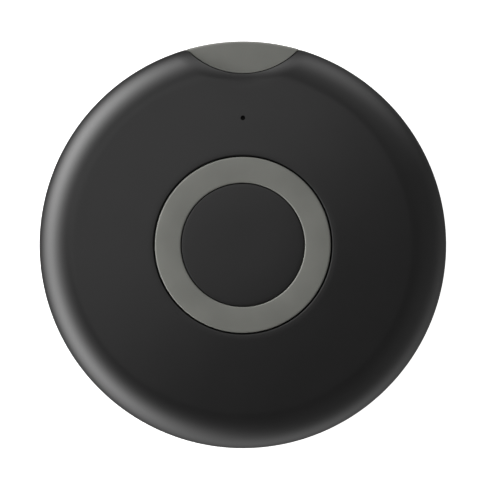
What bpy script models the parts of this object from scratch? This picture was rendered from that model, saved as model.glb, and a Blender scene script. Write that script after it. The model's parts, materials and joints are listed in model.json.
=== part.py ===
"""Bluetooth tracker tag: a round two-shell case with a press button, a coin cell and a coin-slot door.

The tag lies on its rear face. The origin is the centre of that face, +Z runs out of the front face,
and +Y points to the notch in the front cover, where the strap pin is.
Lengths are in metres, written as millimetres times MM.
"""

import math

import bmesh
import bpy
from mathutils import Matrix, Vector

MM = 0.001

# Case outline
CASE_RADIUS = 19.0 * MM
FACE_RADIUS = 15.5 * MM  # where the front face turns into the rounded edge
FACE_EDGE_Z = 7.85 * MM
FACE_CROWN = 0.15 * MM  # how far the middle of the front face stands above its edge
BELT_Z = 4.25 * MM  # top of the straight band round the case
SPLIT_Z = 3.425 * MM  # mid-plane of the joint between the two covers
SPLIT_GAP = 0.05 * MM
FRONT_EDGE_DROP = FACE_EDGE_Z - BELT_Z
FIT = 0.05 * MM  # gap between two pieces that touch
BOND = 0.03 * MM  # gap between two pieces that are stuck or pressed together
WALL = 1.0 * MM
CEILING_Z = FACE_EDGE_Z - WALL
INNER_RADIUS = CASE_RADIUS - 1.1 * MM
INNER_FACE_RADIUS = FACE_RADIUS - 0.5 * MM
ROUND_STEPS = 48  # facets of a large turned piece
SMALL_STEPS = 16
SHARP_ANGLE = 35.0  # degrees between two facets above which their edge stays sharp
EDGE_STEPS = 5  # facets down a rounded edge

# Cutters reach past the whole tag
BELOW = -1.0 * MM
ABOVE = 10.0 * MM
OUTSIDE = 25.0 * MM

# Notch in the front cover and the tab of the rear cover that fills it
NOTCH_RADIUS = 7.2 * MM
NOTCH_Y = CASE_RADIUS + 4.1 * MM  # centre of the notch's arc
NOTCH_STEPS = 64
TAB_TOP_Z = 5.55 * MM  # at the notch's deepest point
TAB_RIM_Z = 4.95 * MM
TAB_EDGE_ROUND = 0.4 * MM

# Rear cover
FOOT_RADIUS = 15.9 * MM  # outer edge of the flat ring that the tag stands on
REAR_BELT_Z = 3.2 * MM
REAR_FLOOR_Z = 2.35 * MM
REAR_FLOOR_ROUND = 0.65 * MM  # height of the bevel where the floor meets the wall
STRAP_HALF_WIDTH = 2.6 * MM
STRAP_BACK_Y = 15.5 * MM
STRAP_UPPER_BACK_Y = 16.7 * MM
STRAP_ROOF_Z = 3.9 * MM
STRAP_LEDGE_Z = (0.5 * MM, SPLIT_Z - 0.45 * MM)  # foot of the pocket's upper part and top of its lower part
STRAP_PIN_RADIUS = 0.5 * MM
STRAP_PIN_LENGTH = 7.4 * MM
STRAP_PIN_Y = 17.45 * MM
STRAP_PIN_Z = 1.95 * MM
STRAP_PIN_FIT = 0.04 * MM

# Battery door: three helical lugs turn in three helical grooves of the rear cover's collar
DOOR_RADIUS = 14.6 * MM
DOOR_LOW_Z = 0.1 * MM
DOOR_TOP_Z = 1.3 * MM
DOOR_RECESS_RADIUS = DOOR_RADIUS + 0.15 * MM
DOOR_CUP_RADIUS = 11.3 * MM
DOOR_CUP_INNER = 10.35 * MM
DOOR_CUP_TOP_Z = 3.35 * MM
DOOR_LEAD = 12.0 * MM  # travel for a whole turn
COLLAR_BORE = 11.45 * MM
COLLAR_RADIUS = 12.6 * MM
GROOVE_RADIUS = 12.05 * MM
GROOVE_HEIGHT = 1.0 * MM
LUG_RADIUS = 11.9 * MM
LUG_HEIGHT = 0.7 * MM
LUG_Z = 2.6 * MM
LUG_SPAN = 24.0  # degrees
LUG_COUNT = 3
LUG_FIRST_ANGLE = 60.0
GROOVE_SLACK = 3.0  # degrees that a groove goes on past its lug
GROOVE_RUN = 78.0  # degrees from the locked place to well outside the collar
COIN_SLOT = (14.0 * MM, 1.9 * MM, 0.65 * MM)  # length, width, depth
DOOR_EDGE_BREAK = 0.15 * MM
SEAL_GROOVE_RADIUS = DOOR_RADIUS - 0.5 * MM
SEAL_LOW_Z = 0.42 * MM
SEAL_TOP_Z = 1.0 * MM
DOOR_SEAL_SECTION = 0.27 * MM  # radius
RIM_SEAL_SECTION = 0.25 * MM  # radius
RIM_SEAL_GROOVE = 0.28 * MM  # radius
RIM_SEAL_CORNER = 1.0 * MM  # how softly the seal turns into the notch

# Case screws
SCREW_RING = 13.3 * MM
SCREW_ANGLES = (30.0, 150.0, 270.0)
SCREW_HEAD_RADIUS = 0.85 * MM
SCREW_RADIUS = 0.7 * MM
SCREW_HOLE_RADIUS = 0.85 * MM
COUNTERBORE_RADIUS = 1.0 * MM
SCREW_HEAD_Z = (1.42 * MM, 1.95 * MM)
SCREW_END_Z = 6.7 * MM
PILOT_TOP_Z = 7.0 * MM
SCREW_POST_RADIUS = 1.3 * MM
BOSS_RADIUS = 1.4 * MM

# Circuit board
SOLDER = 0.02 * MM
BOARD_RADIUS = 16.8 * MM
BOARD_Z = (5.0 * MM, 5.6 * MM)
BOARD_TOP = BOARD_Z[1] + SOLDER  # underside of the parts soldered to the board's upper face

# Find button
BUTTON_RADIUS = 8.17 * MM
BUTTON_HOLE = 8.3 * MM
RING_WIDTH = 2.4 * MM
RING_PROUD = 0.08 * MM
RING_SEAT_Z = 7.3 * MM
BUTTON_LIP_RADIUS = 9.1 * MM
BUTTON_LIP_Z = (6.2 * MM, 6.6 * MM)
BUTTON_UNDER_Z = 6.9 * MM
BUTTON_DISH = 0.05 * MM
BUTTON_GASKET = (8.45 * MM, 9.15 * MM)  # inner and outer radius

# Sound port and buzzer
PORT_Y = 11.8 * MM
PORT_RADIUS = 0.21 * MM
PORT_POCKET_RADIUS = 2.15 * MM
PORT_POCKET_Z = 7.2 * MM
BUZZER_SIDE = 5.0 * MM
BUZZER_Z = (4.68 * MM, 6.68 * MM)
BUZZER_BASE = 0.25 * MM

# Coin cell, 20 mm by 3.2 mm
CELL_RADIUS = 10.0 * MM
CELL_Z = (1.35 * MM, 4.55 * MM)
CELL_SKIN = 0.25 * MM
CAN_WALL = 0.3 * MM
CAN_MOUTH_RADIUS = 9.35 * MM
CAN_TOP_Z = 4.4 * MM
CAP_RADIUS = 8.9 * MM
CAP_LOW_Z = 2.3 * MM
PELLET_RADIUS = 8.55 * MM
CATHODE_Z = (1.65 * MM, 3.05 * MM)
SEPARATOR_Z = (3.1 * MM, 3.2 * MM)
ANODE_Z = (3.25 * MM, 4.25 * MM)
CELL_STEPS = 32

# Battery frame
FRAME_BORE = CELL_RADIUS + 0.25 * MM
FRAME_RADIUS = INNER_RADIUS - 0.2 * MM
FRAME_LIP = (0.8 * MM, 0.35 * MM)  # width and height of the lip that stands in the rear cover

# Tact switch
SWITCH_SIZE = (3.9 * MM, 3.0 * MM)
SWITCH_TOP_Z = 6.2 * MM
SWITCH_POCKET_Z = 5.72 * MM
SWITCH_DOME_RADIUS = 1.2 * MM

BLACK_PLASTIC = ("satin black plastic", (0.022, 0.021, 0.021), 0.42, 0.0)
GREY_PLASTIC = ("grey plastic", (0.155, 0.158, 0.14), 0.5, 0.0)
FRAME_PLASTIC = ("black frame plastic", (0.03, 0.03, 0.032), 0.6, 0.0)
RUBBER = ("black rubber", (0.015, 0.015, 0.016), 0.75, 0.0)
STEEL = ("steel", (0.56, 0.56, 0.55), 0.3, 1.0)
GOLD = ("gold-plated spring metal", (0.85, 0.62, 0.28), 0.3, 1.0)
COPPER = ("copper winding", (0.72, 0.32, 0.16), 0.4, 1.0)
BOARD_GREEN = ("green board laminate", (0.012, 0.09, 0.045), 0.4, 0.0)
CHIP = ("moulded chip black", (0.02, 0.02, 0.022), 0.55, 0.0)
CERAMIC = ("white ceramic", (0.75, 0.74, 0.7), 0.45, 0.0)
TAN_CERAMIC = ("tan ceramic", (0.42, 0.28, 0.16), 0.5, 0.0)
NYLON = ("cell gasket nylon", (0.1, 0.1, 0.11), 0.5, 0.0)
MESH_CLOTH = ("acoustic mesh", (0.05, 0.05, 0.05), 0.9, 0.0)
MANGANESE = ("cathode pellet", (0.04, 0.04, 0.04), 0.9, 0.0)
PAPER = ("separator paper", (0.8, 0.8, 0.78), 0.9, 0.0)


# --- Tools -------------------------------------------------------------------------------------


def clear_scene():
    for obj in list(bpy.data.objects):
        bpy.data.objects.remove(obj)


def collection(name):
    made = bpy.data.collections.new(name)
    bpy.context.scene.collection.children.link(made)
    return made


def material(look):
    name, colour, roughness, metallic = look
    made = bpy.data.materials.get(name)
    if made is None:
        made = bpy.data.materials.new(name)
        made.use_nodes = True
        shader = made.node_tree.nodes["Principled BSDF"]
        shader.inputs["Base Color"].default_value = (*colour, 1.0)
        shader.inputs["Roughness"].default_value = roughness
        shader.inputs["Metallic"].default_value = metallic
        made.diffuse_color = (*colour, 1.0)
    return made


def place(name, mesh, look=None):
    """A new object: a part with its material, or a cutter where no look is given."""
    obj = bpy.data.objects.new(name, mesh)
    if look is None:
        bpy.data.collections["cutters"].objects.link(obj)
        obj.hide_render = True
        obj.display_type = "WIRE"
    else:
        bpy.data.collections["tracker_tag"].objects.link(obj)
        if not mesh.materials:
            mesh.materials.append(material(look))
    return obj


def turned(name, profile, look=None, closed=False, steps=ROUND_STEPS, at=(0.0, 0.0)):
    """Turns a profile of (radius, z) points round the upright axis at the place `at`.

    The profile runs down its outer side. It starts and ends on the axis, or closes on itself.
    """
    mesh = bpy.data.meshes.new(name)
    points = [(radius, 0.0, z) for radius, z in profile]
    edges = [(i, i + 1) for i in range(len(points) - 1)]
    if closed:
        edges.append((len(points) - 1, 0))
    mesh.from_pydata(points, edges, [])
    obj = place(name, mesh, look)
    obj.location = (*at, 0.0)
    screw = obj.modifiers.new("turn", "SCREW")
    screw.steps = steps
    screw.render_steps = steps
    screw.use_merge_vertices = True
    screw.merge_threshold = 1e-6
    screw.use_smooth_shade = False
    return obj


def disc(name, radius, z_low, z_high, look=None, steps=ROUND_STEPS, at=(0.0, 0.0)):
    bm = bmesh.new()
    bmesh.ops.create_cone(
        bm,
        cap_ends=True,
        segments=steps,
        radius1=radius,
        radius2=radius,
        depth=z_high - z_low,
        matrix=Matrix.Translation((0.0, 0.0, (z_low + z_high) / 2)),
    )
    mesh = bpy.data.meshes.new(name)
    bm.to_mesh(mesh)
    bm.free()
    obj = place(name, mesh, look)
    obj.location = (*at, 0.0)
    return obj


def block(name, centre, size, z_low, z_high, look=None, turn=0.0):
    """A box standing from z_low to z_high, turned by `turn` degrees about its own middle."""
    bm = bmesh.new()
    bmesh.ops.create_cube(bm, size=1.0, matrix=Matrix.Diagonal((*size, z_high - z_low, 1.0)))
    mesh = bpy.data.meshes.new(name)
    bm.to_mesh(mesh)
    bm.free()
    obj = place(name, mesh, look)
    obj.location = (*centre, (z_low + z_high) / 2)
    obj.rotation_euler.z = math.radians(turn)
    return obj


def ring(name, inner, outer, z_low, z_high, look=None, steps=ROUND_STEPS, at=(0.0, 0.0)):
    profile = [(inner, z_high), (outer, z_high), (outer, z_low), (inner, z_low)]
    return turned(name, profile, look, closed=True, steps=steps, at=at)


def boolean(obj, other, operation, solver="EXACT"):
    modifier = obj.modifiers.new(f"{operation.lower()} {other.name}", "BOOLEAN")
    modifier.operation = operation
    modifier.object = other
    modifier.solver = solver


def cut(obj, *cutters, solver="EXACT"):
    for cutter in cutters:
        boolean(obj, cutter, "DIFFERENCE", solver)


def join(obj, *others):
    for other in others:
        boolean(obj, other, "UNION")


def on_ring(radius, degrees):
    angle = math.radians(degrees)
    return radius * math.cos(angle), radius * math.sin(angle)


def ellipse_edge(centre, radii, start, end, steps=EDGE_STEPS):
    """(radius, z) points along an ellipse, from one angle to another in degrees."""
    points = []
    for i in range(steps + 1):
        angle = math.radians(start + (end - start) * i / steps)
        points.append((centre[0] + radii[0] * math.cos(angle), centre[1] + radii[1] * math.sin(angle)))
    return points


def face_z(radius):
    """Height of the crowned front face."""
    return FACE_EDGE_Z + FACE_CROWN * (1.0 - (radius / FACE_RADIUS) ** 2)


def helical_bar(name, inner, outer, height, start, span, middle_z):
    """A bar that climbs by DOOR_LEAD for each turn. Its middle is at middle_z where it starts."""
    steps = max(4, round(span / 6.0))
    bm = bmesh.new()
    corners = [(inner, -height / 2), (outer, -height / 2), (outer, height / 2), (inner, height / 2)]
    turn = Matrix.Rotation(math.radians(start), 4, "Z")
    section = [bm.verts.new(turn @ Vector((radius, 0.0, middle_z + z))) for radius, z in corners]
    bm.faces.new(section)
    bmesh.ops.spin(
        bm,
        geom=bm.verts[:] + bm.edges[:] + bm.faces[:],
        cent=(0.0, 0.0, 0.0),
        axis=(0.0, 0.0, 1.0),
        dvec=(0.0, 0.0, DOOR_LEAD * span / 360.0 / steps),
        angle=math.radians(span),
        steps=steps,
    )
    bmesh.ops.recalc_face_normals(bm, faces=bm.faces)
    mesh = bpy.data.meshes.new(name)
    bm.to_mesh(mesh)
    bm.free()
    return place(name, mesh)


def bent_strip(name, path, width, thickness, look, y=0.0):
    """Sheet metal: a path of (x, z) points drawn out along Y and given a thickness."""
    sides = (y - width / 2, y + width / 2)
    points = [(x, side, z) for x, z in path for side in sides]
    faces = [(2 * i, 2 * i + 1, 2 * i + 3, 2 * i + 2) for i in range(len(path) - 1)]
    mesh = bpy.data.meshes.new(name)
    mesh.from_pydata(points, [], faces)
    obj = place(name, mesh, look)
    solidify = obj.modifiers.new("thickness", "SOLIDIFY")
    solidify.thickness = thickness
    solidify.offset = 0.0
    solidify.use_even_offset = True
    return obj


# --- Case --------------------------------------------------------------------------------------


def notch_cylinder(name, radius):
    return disc(name, radius, BELOW, ABOVE, steps=NOTCH_STEPS, at=(0.0, NOTCH_Y))


def screw_cutters(name, radius, z_low=BELOW, z_high=ABOVE):
    return [
        disc(f"{name}_{i}", radius, z_low, z_high, steps=SMALL_STEPS, at=on_ring(SCREW_RING, angle))
        for i, angle in enumerate(SCREW_ANGLES, 1)
    ]


def rim_path(steps=60):
    """The line of the seal between the covers: the middle of the front cover's lower edge.

    It follows the case all round and bends inwards round the notch.
    """
    round_case = (INNER_RADIUS + CASE_RADIUS) / 2
    round_notch = NOTCH_RADIUS + WALL / 2
    points = []
    for i in range(steps):
        angle = 2 * math.pi * i / steps
        off = angle - math.pi / 2
        across = NOTCH_Y * math.sin(off)
        radius = round_case
        if math.cos(off) > 0 and abs(across) < round_notch:
            to_notch = NOTCH_Y * math.cos(off) - math.sqrt(round_notch**2 - across**2)
            blend = max(RIM_SEAL_CORNER - abs(round_case - to_notch), 0.0) / RIM_SEAL_CORNER
            radius = min(round_case, to_notch) - blend**2 * RIM_SEAL_CORNER / 4
        points.append((radius * math.cos(angle), radius * math.sin(angle), SPLIT_Z))
    return points


def rim_tube(name, radius, look=None):
    """A closed tube along the rim path, as a mesh so that it can be a cutter."""
    curve = bpy.data.curves.new(name, "CURVE")
    curve.dimensions = "3D"
    curve.bevel_depth = radius
    curve.bevel_resolution = 0
    points = rim_path()
    spline = curve.splines.new("POLY")
    spline.points.add(len(points) - 1)
    for point, place_at in zip(spline.points, points):
        point.co = (*place_at, 1.0)
    spline.use_cyclic_u = True
    guide = bpy.data.objects.new(name + "_curve", curve)
    bpy.context.scene.collection.objects.link(guide)
    graph = bpy.context.evaluated_depsgraph_get()
    mesh = bpy.data.meshes.new_from_object(guide.evaluated_get(graph))
    bpy.data.objects.remove(guide)
    bm = bmesh.new()
    bm.from_mesh(mesh)
    bmesh.ops.remove_doubles(bm, verts=bm.verts, dist=1e-6)
    bmesh.ops.recalc_face_normals(bm, faces=bm.faces)
    bm.to_mesh(mesh)
    bm.free()
    return place(name, mesh, look)


def front_cover():
    """The dished front shell: rounded edge, button hole, sound port, and a notch with its own wall."""
    belt = (FACE_RADIUS, BELT_Z)
    edge = ellipse_edge(belt, (CASE_RADIUS - FACE_RADIUS, FRONT_EDGE_DROP), 90, 0)
    face = [(radius, face_z(radius)) for radius in (0.0, 6.0 * MM, 11.0 * MM)]
    cover = turned(
        "front_cover",
        face + edge + [(CASE_RADIUS, SPLIT_Z - 0.4 * MM), (0.0, SPLIT_Z - 0.4 * MM)],
        BLACK_PLASTIC,
    )
    inner_belt = (INNER_FACE_RADIUS, BELT_Z)
    inner_radii = (INNER_RADIUS - INNER_FACE_RADIUS, CEILING_Z - BELT_Z)
    inner_edge = ellipse_edge(inner_belt, inner_radii, 90, 0)
    hollow = turned(
        "front_hollow",
        [(0.0, CEILING_Z)] + inner_edge + [(INNER_RADIUS, 0.0), (0.0, 0.0)],
    )
    cut(hollow, notch_cylinder("notch_wall", NOTCH_RADIUS + WALL))
    cut(hollow, *screw_cutters("boss", BOSS_RADIUS, z_low=BOARD_Z[1] + FIT))
    spot = (0.0, PORT_Y)
    cut(
        cover,
        hollow,
        disc("below_split", OUTSIDE, BELOW, SPLIT_Z + SPLIT_GAP / 2),
        notch_cylinder("notch", NOTCH_RADIUS),
        disc("button_hole", BUTTON_HOLE, BUTTON_LIP_Z[0], ABOVE),
        rim_tube("rim_groove", RIM_SEAL_GROOVE),
        disc("port", PORT_RADIUS, BUTTON_LIP_Z[0], ABOVE, steps=12, at=spot),
        disc("port_pocket", PORT_POCKET_RADIUS, BUTTON_LIP_Z[0], PORT_POCKET_Z, steps=24, at=spot),
        *screw_cutters("pilot", SCREW_RADIUS + FIT, BOARD_Z[0], PILOT_TOP_Z),
    )


def rear_cover():
    """The rear shell: foot ring, door recess and collar, screw posts, strap pocket, and the tab."""
    edge = ellipse_edge(
        (FOOT_RADIUS, REAR_BELT_Z), (CASE_RADIUS - FOOT_RADIUS, REAR_BELT_Z), 0, -90
    )
    tab_edge = ellipse_edge(
        (CASE_RADIUS - TAB_EDGE_ROUND, TAB_RIM_Z - TAB_EDGE_ROUND),
        (TAB_EDGE_ROUND, TAB_EDGE_ROUND),
        90,
        0,
        steps=3,
    )
    tab_root = NOTCH_Y - NOTCH_RADIUS
    cover = turned(
        "rear_cover",
        [(0.0, TAB_TOP_Z), (tab_root, TAB_TOP_Z)] + tab_edge + edge + [(0.0, 0.0)],
        GREY_PLASTIC,
    )
    above_split = disc("above_split", OUTSIDE, SPLIT_Z - SPLIT_GAP / 2, ABOVE - 1.0 * MM)
    cut(above_split, notch_cylinder("tab_outline", NOTCH_RADIUS - 2 * FIT))
    hollow = turned(
        "rear_hollow",
        [
            (COLLAR_RADIUS, SPLIT_Z + WALL / 2),
            (INNER_RADIUS, SPLIT_Z + WALL / 2),
            (INNER_RADIUS, REAR_FLOOR_Z + REAR_FLOOR_ROUND),
            (INNER_RADIUS - WALL, REAR_FLOOR_Z),
            (COLLAR_RADIUS, REAR_FLOOR_Z),
        ],
        closed=True,
    )
    cut(hollow, notch_cylinder("strap_wall", NOTCH_RADIUS + WALL))
    cut(hollow, *screw_cutters("post", SCREW_POST_RADIUS))
    ledge_low, ledge_top = STRAP_LEDGE_Z
    cut(
        cover,
        above_split,
        hollow,
        disc("door_recess", DOOR_RECESS_RADIUS, BELOW, DOOR_TOP_Z + FIT),
        disc("collar_bore", COLLAR_BORE, BELOW, ABOVE),
        strap_cutter("strap_pocket", STRAP_BACK_Y, BELOW, ledge_top),
        strap_cutter("strap_pocket_roof", STRAP_UPPER_BACK_Y, ledge_low, STRAP_ROOF_Z),
        pin("pin_hole", STRAP_PIN_RADIUS + STRAP_PIN_FIT, STRAP_PIN_LENGTH + 2 * FIT),
        bpy.data.objects["rim_groove"],
        *screw_cutters("counterbore", COUNTERBORE_RADIUS, BELOW, SCREW_HEAD_Z[1] + FIT),
        *screw_cutters("clearance", SCREW_HOLE_RADIUS),
        *door_grooves(),
        solver="MANIFOLD",
    )


def strap_cutter(name, back_y, z_low, z_high):
    """A block as wide as the strap pocket, from back_y outwards."""
    size = (2 * STRAP_HALF_WIDTH, OUTSIDE - back_y)
    return block(name, (0.0, (back_y + OUTSIDE) / 2), size, z_low, z_high)


def pin(name, radius, length, look=None):
    """A round bar along X at the strap pin's place."""
    bm = bmesh.new()
    along_x = Matrix.Rotation(math.radians(90), 4, "Y")
    bmesh.ops.create_cone(
        bm, cap_ends=True, segments=16, radius1=radius, radius2=radius, depth=length, matrix=along_x
    )
    mesh = bpy.data.meshes.new(name)
    bm.to_mesh(mesh)
    bm.free()
    obj = place(name, mesh, look)
    obj.location = (0.0, STRAP_PIN_Y, STRAP_PIN_Z)
    return obj


def seals():
    rim_tube("case_seal", RIM_SEAL_SECTION, RUBBER)
    seal_z = (SEAL_LOW_Z + SEAL_TOP_Z) / 2
    seal_ring = SEAL_GROOVE_RADIUS + DOOR_SEAL_SECTION + 0.02 * MM
    section = ellipse_edge((seal_ring, seal_z), (DOOR_SEAL_SECTION,) * 2, 90, -210)
    turned("door_seal", section, RUBBER, closed=True)


def case_screws():
    """Screws with a slot, from the door's recess through frame and board into the front cover."""
    head_low, head_top = SCREW_HEAD_Z
    profile = [
        (0.0, SCREW_END_Z),
        (SCREW_RADIUS * 0.5, SCREW_END_Z),
        (SCREW_RADIUS, SCREW_END_Z - 0.5 * MM),
        (SCREW_RADIUS, head_top),
        (SCREW_HEAD_RADIUS, head_top),
        (SCREW_HEAD_RADIUS, head_low + 0.1 * MM),
        (SCREW_HEAD_RADIUS - 0.1 * MM, head_low),
        (0.0, head_low),
    ]
    for i, angle in enumerate(SCREW_ANGLES, 1):
        spot = on_ring(SCREW_RING, angle)
        screw = turned(f"case_screw_{i}", profile, STEEL, steps=16, at=spot)
        slot_size = (1.2 * MM, 0.28 * MM)
        cut(screw, block(f"screw_slot_{i}", spot, slot_size, 1.0 * MM, head_low + 0.22 * MM, turn=angle))


# --- Battery door and coin cell ----------------------------------------------------------------


def lug_angles():
    return [LUG_FIRST_ANGLE + 360.0 / LUG_COUNT * i for i in range(LUG_COUNT)]


def door_grooves():
    """Cutters for the collar's grooves, each from its lug's locked place down to the open mouth."""
    span = GROOVE_RUN + LUG_SPAN + GROOVE_SLACK
    cutters = []
    for i, angle in enumerate(lug_angles(), 1):
        start = angle - LUG_SPAN / 2 - GROOVE_RUN
        middle_z = LUG_Z + DOOR_LEAD * (start - angle) / 360.0
        inner = COLLAR_BORE - WALL / 2
        name = f"groove_{i}"
        cutters.append(helical_bar(name, inner, GROOVE_RADIUS, GROOVE_HEIGHT, start, span, middle_z))
    return cutters


def battery_door():
    """A coin-slot disc with a seal groove in its rim and a cup that carries the lugs and the cell."""
    door = turned(
        "battery_door",
        [
            (0.0, DOOR_TOP_Z),
            (DOOR_CUP_INNER, DOOR_TOP_Z),
            (DOOR_CUP_INNER, DOOR_CUP_TOP_Z),
            (DOOR_CUP_RADIUS, DOOR_CUP_TOP_Z),
            (DOOR_CUP_RADIUS, DOOR_TOP_Z),
            (DOOR_RADIUS, DOOR_TOP_Z),
            (DOOR_RADIUS, SEAL_TOP_Z),
            (SEAL_GROOVE_RADIUS, SEAL_TOP_Z),
            (SEAL_GROOVE_RADIUS, SEAL_LOW_Z),
            (DOOR_RADIUS, SEAL_LOW_Z),
            (DOOR_RADIUS, DOOR_LOW_Z + DOOR_EDGE_BREAK),
            (DOOR_RADIUS - DOOR_EDGE_BREAK, DOOR_LOW_Z),
            (0.0, DOOR_LOW_Z),
        ],
        BLACK_PLASTIC,
    )
    lugs = []
    start_z = LUG_Z - DOOR_LEAD * LUG_SPAN / 2 / 360.0
    inner = (DOOR_CUP_INNER + DOOR_CUP_RADIUS) / 2
    for i, angle in enumerate(lug_angles(), 1):
        start = angle - LUG_SPAN / 2
        lugs.append(helical_bar(f"lug_{i}", inner, LUG_RADIUS, LUG_HEIGHT, start, LUG_SPAN, start_z))
    join(door, *lugs)
    length, width, depth = COIN_SLOT
    cut(door, block("coin_slot", (0.0, 0.0), (length, width), BELOW, DOOR_LOW_Z + depth))


def coin_cell():
    """The can is the lower, positive side. The cap is the upper, negative side."""
    low, top = CELL_Z
    can_inner = CELL_RADIUS - CAN_WALL
    lip = 0.15 * MM
    turned(
        "cell_can",
        [
            (0.0, low + CELL_SKIN),
            (can_inner, low + CELL_SKIN),
            (can_inner, CAN_TOP_Z - CELL_SKIN),
            (CAN_MOUTH_RADIUS, CAN_TOP_Z - CELL_SKIN),
            (CAN_MOUTH_RADIUS, CAN_TOP_Z),
            (CELL_RADIUS - lip, CAN_TOP_Z),
            (CELL_RADIUS, CAN_TOP_Z - lip),
            (CELL_RADIUS, low + lip),
            (CELL_RADIUS - lip, low),
            (0.0, low),
        ],
        STEEL,
        steps=CELL_STEPS,
    )
    cap_inner = CAP_RADIUS - CELL_SKIN
    shoulder = 0.3 * MM
    turned(
        "cell_cap",
        [
            (0.0, top),
            (CAP_RADIUS - shoulder, top),
            (CAP_RADIUS, top - shoulder / 2),
            (CAP_RADIUS, CAP_LOW_Z),
            (cap_inner, CAP_LOW_Z),
            (cap_inner, top - CELL_SKIN - shoulder / 2),
            (cap_inner - shoulder / 2, top - CELL_SKIN),
            (0.0, top - CELL_SKIN),
        ],
        STEEL,
        steps=CELL_STEPS,
    )
    gasket = [
        (CAP_RADIUS + FIT, CAN_TOP_Z),
        (CAN_MOUTH_RADIUS - FIT, CAN_TOP_Z),
        (CAN_MOUTH_RADIUS - FIT, CAN_TOP_Z - CELL_SKIN - FIT),
        (can_inner - FIT, CAN_TOP_Z - CELL_SKIN - FIT),
        (can_inner - FIT, low + CELL_SKIN + FIT),
        (CAP_RADIUS + FIT, low + CELL_SKIN + FIT),
    ]
    turned("cell_gasket", gasket, NYLON, closed=True, steps=CELL_STEPS)
    disc("cell_cathode", PELLET_RADIUS, *CATHODE_Z, MANGANESE, steps=CELL_STEPS)
    disc("cell_separator", PELLET_RADIUS, *SEPARATOR_Z, PAPER, steps=CELL_STEPS)
    disc("cell_anode", cap_inner - 2 * shoulder, *ANODE_Z, STEEL, steps=CELL_STEPS)


def battery_frame():
    """The cradle between the rear cover and the board. It is open where the buzzer hangs through."""
    low, top = SPLIT_Z + SPLIT_GAP / 2, BOARD_Z[0] - FIT
    lip_width, lip_height = FRAME_LIP
    frame = turned(
        "battery_frame",
        [
            (FRAME_BORE, top),
            (FRAME_RADIUS, top),
            (FRAME_RADIUS, low - lip_height),
            (FRAME_RADIUS - lip_width, low - lip_height),
            (FRAME_RADIUS - lip_width, low),
            (FRAME_BORE, low),
        ],
        FRAME_PLASTIC,
        closed=True,
    )
    cut(
        frame,
        notch_cylinder("frame_notch", NOTCH_RADIUS + WALL + 2 * FIT),
        block("buzzer_gap", (0.0, 13.0 * MM), (5.4 * MM, 7.6 * MM), BELOW, ABOVE),
        block("contact_gap", (11.7 * MM, 0.0), (3.6 * MM, 3.8 * MM), BELOW, ABOVE),
        *screw_cutters("frame_hole", SCREW_HOLE_RADIUS),
    )


def contacts():
    """Spring contacts under the board: a finger on the cell's cap and a leaf on the can's side."""
    gauge = 0.12 * MM
    pad_z = BOARD_Z[0] - 0.08 * MM
    finger = [
        (-6.0 * MM, pad_z),
        (-3.4 * MM, pad_z),
        (-2.6 * MM, pad_z - 0.06 * MM),
        (1.8 * MM, CELL_Z[1] + 0.1 * MM),
        (2.6 * MM, CELL_Z[1] + 0.16 * MM),
    ]
    bent_strip("negative_contact", finger, 2.4 * MM, gauge, GOLD)
    leaf_x = CELL_RADIUS + 0.16 * MM
    leaf = [
        (13.1 * MM, pad_z),
        (leaf_x + 0.28 * MM, pad_z),
        (leaf_x + 0.1 * MM, pad_z - 0.15 * MM),
        (leaf_x - 0.04 * MM, 4.0 * MM),
        (leaf_x + 0.12 * MM, 3.55 * MM),
    ]
    bent_strip("positive_contact", leaf, 3.0 * MM, gauge, GOLD)


# --- Circuit board -----------------------------------------------------------------------------


def circuit_board():
    board = disc("main_board", BOARD_RADIUS, *BOARD_Z, BOARD_GREEN)
    side = BUZZER_SIDE + 0.3 * MM
    window_middle = PORT_Y + 1.0 * MM
    cut(
        board,
        notch_cylinder("board_notch", NOTCH_RADIUS + WALL + 4 * FIT),
        block("board_window", (0.0, window_middle), (side, side + 2.0 * MM), BELOW, ABOVE),
        *screw_cutters("board_hole", SCREW_HOLE_RADIUS),
    )


def board_parts():
    """(name, x, y, width, depth, height, turn, look), in millimetres and degrees."""
    parts = [
        ("bluetooth_chip", -12.8, 0.0, 6.0, 6.0, 0.85, 0, CHIP),
        ("radio_crystal", -10.6, -4.6, 2.5, 2.0, 0.55, 0, STEEL),
        ("clock_crystal", -13.0, -5.1, 1.5, 3.2, 0.8, 0, CERAMIC),
        ("antenna", 14.2, 0.0, 2.0, 7.0, 1.0, 0, CERAMIC),
        ("supply_inductor", -7.8, -10.2, 2.5, 2.0, 1.0, 37, CHIP),
        ("supply_capacitor", 7.6, -10.4, 3.2, 1.6, 1.1, -36, TAN_CERAMIC),
        ("buzzer_transistor", 5.6, 11.2, 1.3, 2.9, 1.0, -25, CHIP),
        ("motion_sensor", 11.4, -6.0, 2.0, 2.0, 0.9, 0, CHIP),
    ]
    for name, x, y, width, depth, height, turn, look in parts:
        size = (width * MM, depth * MM)
        block(name, (x * MM, y * MM), size, BOARD_TOP, BOARD_TOP + height * MM, look, turn)
    for i, degrees in enumerate((217, 252, 288, 318, 124, 136, 345, 14), 1):
        spot = on_ring(12.4 * MM, degrees)
        top = BOARD_TOP + 0.5 * MM
        block(f"chip_capacitor_{i}", spot, (0.8 * MM, 1.6 * MM), BOARD_TOP, top, TAN_CERAMIC, degrees)


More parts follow.
